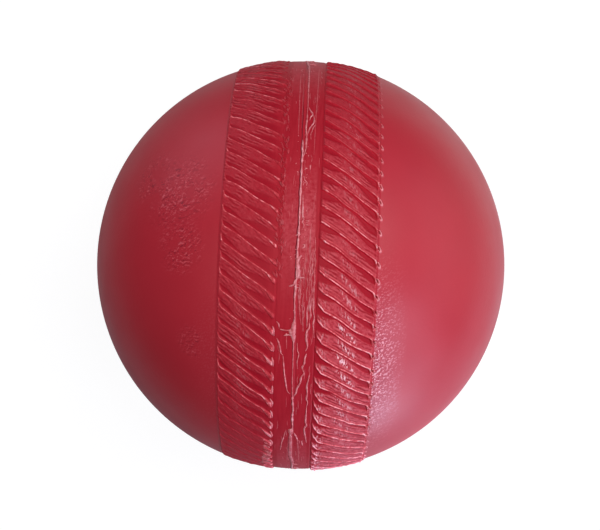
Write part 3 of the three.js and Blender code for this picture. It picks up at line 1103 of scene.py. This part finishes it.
def smooth_noise(rng, count, spacing, closed=False):
    """Seeded noise between -1 and 1 that changes over about the given number of steps."""
    knots = max(int(count / spacing), LEAST_KNOTS)
    values = rng.uniform(-1, 1, knots)
    if closed:
        values = np.append(values, values[0])
    return np.interp(np.linspace(0, 1, count), np.linspace(0, 1, len(values)), values)


def round_noise(rng, spacing):
    return smooth_noise(rng, WELD_STEPS, spacing, closed=True)


def weld_wander(turn, rng):
    """Offset of the weld line: as listed on the near side, and wandering by itself elsewhere."""
    own = WANDER * round_noise(rng, WANDER_STEPS)
    listed = np.interp(turn, *np.array(WELD_LINE).T)
    return blend(own, listed, window(*LISTED_SPAN, turn)) + JITTER * round_noise(rng, LINE_RAGGED_STEPS)


def closed_ring(loops):
    """A closed skin through loops of points that all run once round the seam axis."""
    points = np.stack(loops, axis=1)
    steps, sides = points.shape[:2]
    index = np.arange(steps * sides).reshape(steps, sides)
    ahead = np.roll(index, -1, axis=0)
    faces = np.stack([index, np.roll(index, -1, 1), np.roll(ahead, -1, 1), ahead], -1).reshape(-1, 4)
    return points.reshape(-1, 3), faces.tolist()


def weld_web():
    """The fused ring between the rims: a little below the channel outside, with a bead inside the ball."""
    sunk = math.sqrt(BALL_RADIUS ** 2 - RIM_OFFSET ** 2) - WEB_SINK
    inner_edge = BALL_RADIUS - WALL
    section = [(-RIM_OFFSET, sunk - RIM_STEP), (-RIM_OFFSET + RIM_STEP, sunk)]
    section += [(RIM_OFFSET - RIM_STEP, sunk), (RIM_OFFSET, sunk - RIM_STEP), (RIM_OFFSET, inner_edge)]
    for angle in np.radians(INNER_BEAD_ANGLES):
        section.append((RIM_OFFSET * math.cos(angle), inner_edge - INNER_BEAD * math.sin(angle)))
    section.append((-RIM_OFFSET, inner_edge))
    return closed_ring([ring_points(even_turns(DOME_COLUMNS), *corner) for corner in section])


def weld_line(rng):
    """The ragged line along the weld and the split beside it, with how pale each point is and which points
    take the split's painted shade.
    """
    turn = np.linspace(-180, 180, WELD_STEPS, endpoint=False)
    centre = weld_wander(turn, rng)
    width = LINE_HALF_WIDTH * (1 + LINE_RAGGED_WIDTH * round_noise(rng, LINE_RAGGED_STEPS))
    height = LINE_HEIGHT * (1 + LINE_RAGGED_HEIGHT * round_noise(rng, LINE_RAGGED_STEPS))
    flat_strip = window(*STRIP_SPAN, turn)
    strength = np.interp(turn, *np.array(WELD_STRENGTH).T)
    width = (width + STRIP_WIDTH * flat_strip) * blend(WEAK_WIDTH, 1, strength)
    height = height * blend(WEAK_HEIGHT, 1, strength)
    patches = smooth_step(*GAP_PATCHES, round_noise(rng, GAP_PATCH_STEPS))
    gap = GAP_LEAST + GAP_WIDTH * np.maximum(window(*GAP_SPAN, turn), GAP_PATCH_SHARE * patches)
    loops = [on_ball(turn, centre - width - gap, -LINE_SINK), on_ball(turn, centre - width - gap, GAP_LIFT)]
    loops.append(on_ball(turn, centre - width * GAP_INNER_EDGE, GAP_LIFT))
    for across, up in STRAND_SECTION[1:]:
        rise = -LINE_SINK if up is None else np.minimum(height, FLASH_LIMIT) * up
        loops.append(on_ball(turn, centre + width * across, rise))
    pale = (1 - STRIP_TONE * flat_strip) * strength ** PALE_CURVE
    in_gap = np.tile(np.isin(np.arange(len(loops)), GAP_SIDES).astype(float), WELD_STEPS)
    return *closed_ring(loops), np.repeat(pale, len(loops)), in_gap


def spline_through(points, step):
    """Evenly stepped points on a smooth curve through the given turns and offsets."""
    points = np.asarray(points, float)
    padded = np.vstack([2 * points[0] - points[1], points, 2 * points[-1] - points[-2]])
    pieces = []
    for before, start, end, after in zip(padded, padded[1:], padded[2:], padded[3:]):
        share = np.linspace(0, 1, SPLINE_STEPS, endpoint=False)[:, None]
        pieces.append(0.5 * (2 * start + (end - before) * share
                             + (2 * before - 5 * start + 4 * end - after) * share ** 2
                             + (3 * start - before - 3 * end + after) * share ** 3))
    curve = np.vstack(pieces + [points[-1:]])
    scale = np.array([math.radians(1) * BALL_RADIUS, 1])
    lengths = np.concatenate([[0], np.cumsum(np.linalg.norm(np.diff(curve * scale, axis=0), axis=1))])
    even = np.linspace(0, lengths[-1], max(int(lengths[-1] / step), LEAST_STEPS))
    return np.stack([np.interp(even, lengths, curve[:, axis]) for axis in range(2)], axis=1)


def strand(rng, half_width, height, points):
    """One ridge of flash that lies on the channel, ragged along its length and tapered at both ends."""
    path = spline_through(points, STRAND_STEP)
    count = len(path)
    along = np.clip(np.linspace(0, 1, count), *STRAND_ENDS)
    taper = blend(STRAND_TIP, 1, np.sqrt(np.sin(np.pi * along)))
    width = half_width * taper * (1 + RAGGED_WIDTH * smooth_noise(rng, count, RAGGED_STEPS))
    rise = height * taper * (1 + RAGGED_HEIGHT * smooth_noise(rng, count, RAGGED_STEPS))
    rise = np.minimum(rise, FLASH_LIMIT)
    centre = on_ball(path[:, 0], path[:, 1])
    normal = centre / np.linalg.norm(centre, axis=1, keepdims=True)
    side = np.cross(np.gradient(centre, axis=0), normal)
    side /= np.linalg.norm(side, axis=1, keepdims=True)
    loops = []
    for across, up in STRAND_SECTION:
        lift = np.full(count, -STRAND_SINK) if up is None else rise * up
        loops.append(centre + side * (width * across)[:, None] + normal * lift[:, None])
    index = np.arange(count * len(loops)).reshape(count, len(loops))
    quads = np.stack([index[:-1], np.roll(index[:-1], -1, 1), np.roll(index[1:], -1, 1), index[1:]], -1)
    faces = quads.reshape(-1, 4).tolist() + [index[0].tolist(), index[-1][::-1].tolist()]
    return np.stack(loops, axis=1).reshape(-1, 3), faces


def drawn(rng, ranges, names):
    """Random measures, drawn in the order they are named."""
    return [rng.uniform(*ranges[name]) for name in names.split()]


def scattered(rng, ranges, route):
    """Strands at random turns, each on a route of its own with a random half-width, height and paleness."""
    strands = []
    for turn in rng.uniform(*ranges["turns"], ranges["count"]):
        points = route(rng, turn)
        strands.append((*drawn(rng, ranges, "width height pale"), points))
    return strands


def back_whiskers(rng):
    """Short random strands along the rest of the weld."""
    strands = []
    count = WHISKERS["count"]
    for turn in np.linspace(*WHISKERS["turns"], count) + rng.uniform(*WHISKERS["shift"], count):
        side = rng.choice([-1, 1])
        reach, lean, width, height = drawn(rng, WHISKERS, "reach lean width height")
        middle = (turn + WHISKER_BEND * lean, side * reach / 2)
        points = [(turn, side * WHISKER_ROOT), middle, (turn + lean, side * reach)]
        strands.append((width, height, points))
    return strands


def crumbs(rng):
    """Crumbs of flash scattered beside the weld line, twice as many on the right."""
    strands = []
    for turn in rng.uniform(*CRUMBS["turns"], CRUMBS["count"]):
        if any(start < turn < end for start, end in CRUMB_GAPS):
            continue
        side = rng.choice([-1, 1, 1])
        offset, lean, length, width, height = drawn(rng, CRUMBS, "offset lean length width height")
        strands.append((width, height, [(turn, side * offset), (turn + length, side * offset + lean)]))
    return strands


def scuff_route(rng, turn):
    """A faint drawn-out scuff along the channel, more often on the right, where the channel is painted paler
    by rubbing and sheen.
    """
    offset = rng.uniform(*SCUFFS["offset"]) * rng.choice([-1, 1, 1])
    length, bow, drift = drawn(rng, SCUFFS, "length bow drift")
    return [(turn, offset), (turn + length / 2, offset + bow), (turn + length, offset + drift)]


def combed_route(rng, turn):
    """A fine wavy strand, one of those combed along the right of the channel."""
    offset, length = drawn(rng, COMBED, "offset length")
    steps = np.arange(0, length, WAVE_STEP)
    sway = np.cumsum(rng.uniform(*COMBED["sway"], len(steps)))
    return list(zip(turn + steps, offset + sway))


def crumple_route(rng, turn):
    """A small torn fold at the inner edge of the left band."""
    offset, lean, middle = drawn(rng, CRUMPLES, "offset lean middle")
    bend = (turn + middle, offset - CRUMPLE_BEND * lean)
    return [(turn, offset), bend, (turn + CRUMPLE_LENGTH, offset - lean)]


def curled_edge(rng):
    """Hooks of pale flash at the inner ends of the lowest left ribs, and a tight zigzag below them."""
    strands = []
    for hook in range(HOOKS["count"]):
        turn = FIRST_HOOK_TURN - RIB_PITCH * hook
        slanted, upright = drawn(rng, HOOKS, "slanted upright")
        for line, points, reach in (
                (UPRIGHT_HOOK, UPRIGHT_POINTS, upright), (SLANTED_HOOK, SLANTED_POINTS, slanted)):
            route = [(turn + ahead, offset - reach * share) for ahead, offset, share in points]
            strands.append((*line, route))
    for start, reach in ZIGZAGS:
        steps = np.arange(0, reach, WAVE_STEP)
        swing = np.where(np.arange(len(steps)) % 2, ZIGZAG_SWING, -ZIGZAG_SWING)
        swing = swing * rng.uniform(*ZIGZAG_SWINGS, len(steps))
        offsets = ZIGZAG_OFFSET + ZIGZAG_DRIFT * steps + swing
        strands.append((*ZIGZAG_LINE, list(zip(start - steps, offsets))))
    return strands


def weld_flash(material):
    """The web, the weld line and all the strands in one mesh, each with its paleness."""
    rng = np.random.default_rng(FLASH_SEED)
    skins = [(*weld_web(), 0.0, 0.0), weld_line(rng)]
    for half_width, height, route in STRANDS + back_whiskers(rng) + crumbs(rng):
        skins.append((*strand(rng, half_width, height, route), STRAND_PALENESS, 0.0))
    faint = list(MOULD_LINES)
    for ranges, route in ((SCUFFS, scuff_route), (COMBED, combed_route), (CRUMPLES, crumple_route)):
        faint += scattered(rng, ranges, route)
    for half_width, height, paleness, route in faint + curled_edge(rng):
        skins.append((*strand(rng, half_width, height, route), paleness, 0.0))
    all_points, all_faces, pale, gap, count = [], [], [], [], 0
    for points, faces, paleness, in_gap in skins:
        all_points.append(points)
        all_faces += [tuple(index + count for index in face) for face in faces]
        pale.append(np.broadcast_to(paleness, len(points)))
        gap.append(np.broadcast_to(in_gap, len(points)))
        count += len(points)
    piece = mesh_object("weld_flash", np.concatenate(all_points), all_faces, [material])
    point_values(piece, "pale", np.concatenate(pale))
    point_values(piece, "gap", np.concatenate(gap))
    skin = bmesh.new()
    skin.from_mesh(piece.data)
    bmesh.ops.recalc_face_normals(skin, faces=skin.faces)
    skin.to_mesh(piece.data)
    skin.free()
    return piece


# Stage, light and camera

# Distance in ball radii, lens in millimetres, then how the seam axis leans
CAMERA_DISTANCE = 5.87
CAMERA_LENS = 70.7
SENSOR_WIDTH = 36
NEAREST_SEEN = 10
SEAM_ROLL = -2.37
SEAM_YAW = 0.8
AIM_SHIFT = 0.13

# Round lamps: name, azimuth, elevation, distance, watts, colour, size and the angle the light spreads over.
# Sizes and distances are in ball radii.
WINDOW_BLUE = (0.84, 0.92, 1.22)
LAMPS = [
    ("window", -48, 0, 8, 0.30, WINDOW_BLUE, 5.5, 180),
    ("window_side", -30, 30, 8, 0.175, (0.86, 0.93, 1.2), 3.5, 180),
    ("window_low", -58, -2, 2.6, 0.0033, WINDOW_BLUE, 1.1, 50),
    ("low_right", 12, 2, 8, 0.185, WHITE[:3], 8, 180),
    ("top_right", 40, 60, 8, 0.365, WHITE[:3], 7, 180),
    ("top_left", 133, 16, 4, 0.029, (0.9, 0.95, 1.15), 3.0, 180),
    ("overhead", 180, 77, 8, 0.225, WHITE[:3], 7, 180),
]

# The room's own light, and how bright it is in reflections from the left side of the ball to the right
ROOM_LIGHT = 0.205
ROOM_SHINE = 1.0
ROOM_SHINE_SPAN = (0.0, 0.8)

# Floor: its grey, and its glow beside the ball and far away, in ball radii
FLOOR_GREY = (0.25, 0.25, 0.25, 1)
FLOOR_ROUGHNESS = 0.9
FLOOR_HALF = 40
FLOOR_GLOW = (0.85, 1.0)
FLOOR_GLOW_SPAN = (3 * BALL_RADIUS * MM, 12 * BALL_RADIUS * MM)

# The floor in reflections: brighter to the right, fading with distance, and less blue on the far side
SHINE_TURN = 15
SHINE_SPAN = (-20 * MM, 115 * MM)
SHINE_LEVELS = (0.15, 1.1)
SHINE_FADE = (230 * MM, 110 * MM)
SHINE_TINT = (0.87, 0.96, 1.25, 1)
FAR_SHINE_TINT = (0.99, 0.98, 0.98, 1)
TINT_SPAN = (-70 * MM, 30 * MM)


def camera_above():
    """Looks straight down on the ball, with the seam axis to the right and leaning a little."""
    roll, yaw = math.radians(SEAM_ROLL), math.radians(SEAM_YAW)
    seam_axis = np.array([math.cos(yaw) * math.cos(roll), math.cos(yaw) * math.sin(roll), math.sin(yaw)])
    image_up = np.array([0.0, 1.0, 0.0])
    seam_up = image_up - seam_axis * (image_up @ seam_axis)
    seam_up /= np.linalg.norm(seam_up)
    to_world = np.stack([seam_axis, seam_up, np.cross(seam_axis, seam_up)])
    place = to_world @ np.array([0, 0, CAMERA_DISTANCE * BALL_RADIUS]) - np.array([AIM_SHIFT, 0, 0])
    data = bpy.data.cameras.new("camera")
    data.lens = CAMERA_LENS
    data.sensor_width = SENSOR_WIDTH
    data.clip_start = NEAREST_SEEN * MM
    camera = scene_object("camera", data)
    camera.matrix_world = Matrix.Translation(place * MM) @ Matrix(to_world.tolist()).to_4x4()
    bpy.context.scene.camera = camera


def softbox(name, azimuth, elevation, distance, power, colour, size, spread):
    """A round lamp that faces the ball from an azimuth, counted from +X towards +Y, and an elevation."""
    around, above = math.radians(azimuth), math.radians(elevation)
    level = math.cos(above)
    direction = Vector((math.cos(around) * level, math.sin(around) * level, math.sin(above)))
    data = bpy.data.lights.new(name, "AREA")
    data.shape = "DISK"
    data.size = size * BALL_RADIUS * MM
    data.spread = math.radians(spread)
    data.energy = power
    data.color = colour
    lamp = scene_object(name, data)
    lamp.location = direction * distance * BALL_RADIUS * MM
    lamp.rotation_euler = direction.to_track_quat("Z", "Y").to_euler()
    lamp.visible_camera = False


def studio_light():
    """The lamps, and a room that is dim as light, bright in reflections and white to the camera."""
    for lamp in LAMPS:
        softbox(*lamp)
    room = Nodes(bpy.data.worlds.new("soft_white_room"), "Background")
    ray = room.add("ShaderNodeLightPath")
    shine = room.ramp(room.along("X", room.place("Generated")), *ROOM_SHINE_SPAN, ROOM_LIGHT, ROOM_SHINE)
    strength = ROOM_LIGHT
    for ray_kind, seen in (("Is Glossy Ray", shine), ("Is Camera Ray", 1.0), ("Is Transmission Ray", 1.0)):
        strength = room.add("ShaderNodeMix", {"Factor": ray[ray_kind], "A": strength, "B": seen})["Result"]
    room.shade(Color=room.colour_mix(ray["Is Glossy Ray"], WHITE, SHINE_TINT), Strength=strength)
    bpy.context.scene.world = room.owner


def white_floor():
    """A grey floor whose glow makes it white to the camera. It still takes the ball's soft shadow."""
    nodes = new_material("white_floor")
    ray = nodes.add("ShaderNodeLightPath")
    place = nodes.place()
    turn = math.radians(SHINE_TURN)
    across = nodes.vector("DOT_PRODUCT", place, (math.cos(turn), math.sin(turn), 0))["Value"]
    from_ball = nodes.vector("LENGTH", place)["Value"]
    shine = nodes.times(nodes.ramp(across, *SHINE_SPAN, *SHINE_LEVELS), nodes.ramp(from_ball, *SHINE_FADE))
    glow = nodes.larger(ray["Is Camera Ray"], ray["Is Transmission Ray"])
    glow = nodes.larger(glow, nodes.times(ray["Is Glossy Ray"], shine))
    glow = nodes.times(glow, nodes.ramp(from_ball, *FLOOR_GLOW_SPAN, *FLOOR_GLOW))
    by_side = nodes.colour_mix(nodes.ramp(nodes.along("Y", place), *TINT_SPAN), SHINE_TINT, FAR_SHINE_TINT)
    tint = nodes.colour_mix(ray["Is Glossy Ray"], WHITE, by_side)
    nodes.shade(Base_Color=FLOOR_GREY, Roughness=FLOOR_ROUGHNESS, Specular_IOR_Level=0.0)
    nodes.shade(Emission_Color=tint, Emission_Strength=glow)
    half = FLOOR_HALF * BALL_RADIUS * MM
    level = cad_box[0].z
    mesh = bpy.data.meshes.new("floor")
    corners = [(-half, -half, level), (half, -half, level), (half, half, level), (-half, half, level)]
    mesh.from_pydata(corners, [], [(0, 1, 2, 3)])
    mesh.materials.append(nodes.owner)
    scene_object("floor", mesh)


bpy.context.scene.view_settings.view_transform = "Standard"
camera_above()
studio_light()
white_floor()

red_plastic = [dome_plastic(), band_plastic()]
pale_flash = flash_plastic()
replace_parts(half_shell("right_shell", RIGHT_SEED, RIGHT_RIBS, red_plastic), "right_half_shell")
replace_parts(half_shell("left_shell", LEFT_SEED, LEFT_RIBS, red_plastic), "left_half_shell")
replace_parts(weld_flash(pale_flash), "weld_ring")
